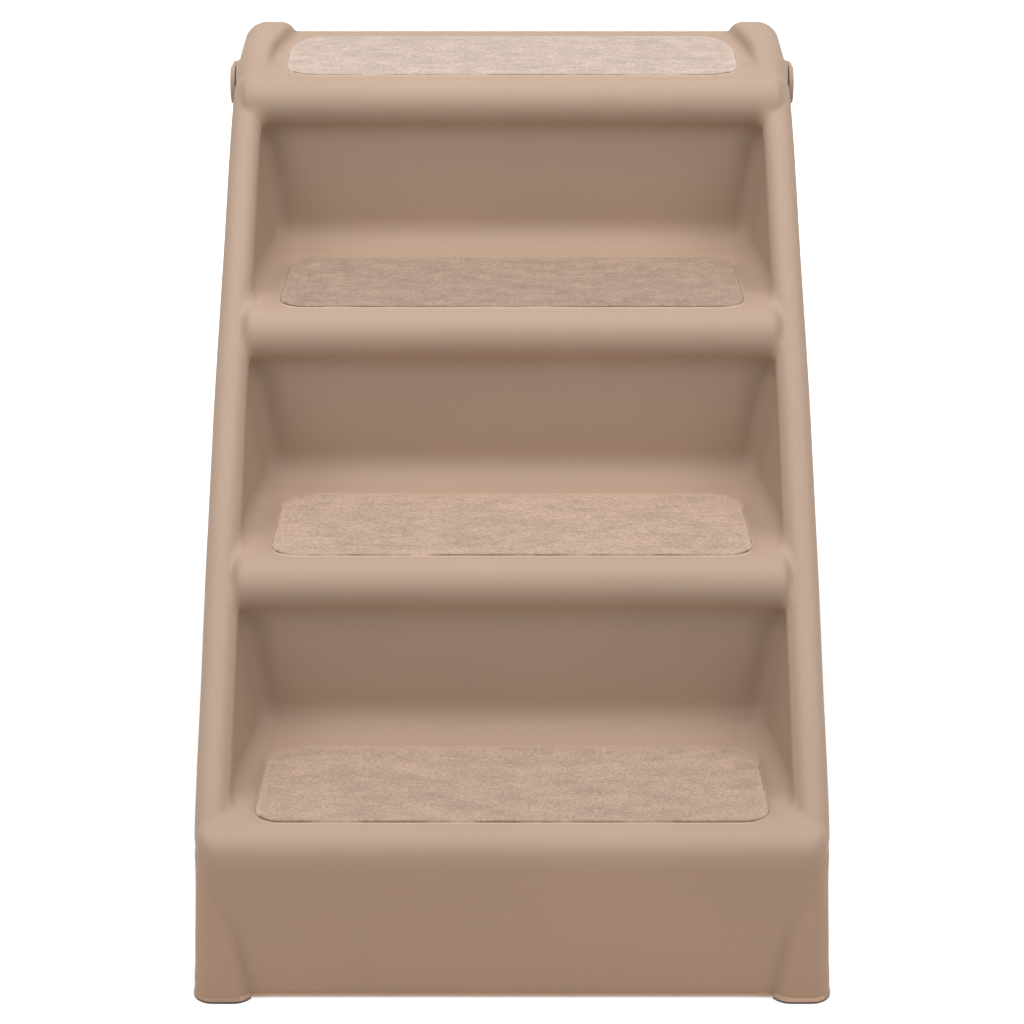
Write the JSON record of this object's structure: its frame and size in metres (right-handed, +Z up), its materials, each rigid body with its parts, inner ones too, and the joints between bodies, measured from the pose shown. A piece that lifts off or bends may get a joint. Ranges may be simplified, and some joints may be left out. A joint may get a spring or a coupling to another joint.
{
  "type": "pet stairs",
  "caption": "Free-standing moulded plastic pet stairs with carpeted treads, raised side rails, corner horns and a rear leg that folds under the steps.",
  "frame": {"origin": "on the floor, under the middle of the open stairs' bounding box", "axes": "+X to the right as seen from the front, +Y from the lowest step towards the rear leg, +Z up"},
  "size_m": [0.4006, 0.6202, 0.4846],
  "materials": {
    "moulded_plastic": "warm tan moulded plastic with a fine matt texture",
    "carpet": "short dense velour pile, a little lighter than the plastic",
    "adhesive": "thin double-sided adhesive sheet",
    "rubber": "dark soft rubber",
    "steel": "plain bright steel",
    "nylon": "natural nylon"
  },
  "bodies": {
    "stairs": {"stair_body": "moulded_plastic", "tread_pad_1": "carpet", "tread_pad_2": "carpet", "tread_pad_3": "carpet", "tread_pad_4": "carpet", "pad_tape_1": "adhesive", "pad_tape_2": "adhesive", "pad_tape_3": "adhesive", "pad_tape_4": "adhesive", "hinge_rod": "steel", "hinge_washer_left": "nylon", "hinge_washer_right": "nylon", "hinge_screw_left": "steel", "hinge_screw_right": "steel", "front_foot_left": "rubber", "front_foot_right": "rubber"},
    "leg": {"rear_leg": "moulded_plastic", "rear_foot_left": "rubber", "rear_foot_right": "rubber"}
  },
  "joints": [
    {"name": "leg_fold", "type": "hinge", "parent": "stairs", "child": "leg", "pos_m": [0, 0.18492, 0.446], "axis": [-1, 0, 0], "range_deg": [0, 56]}
  ]
}
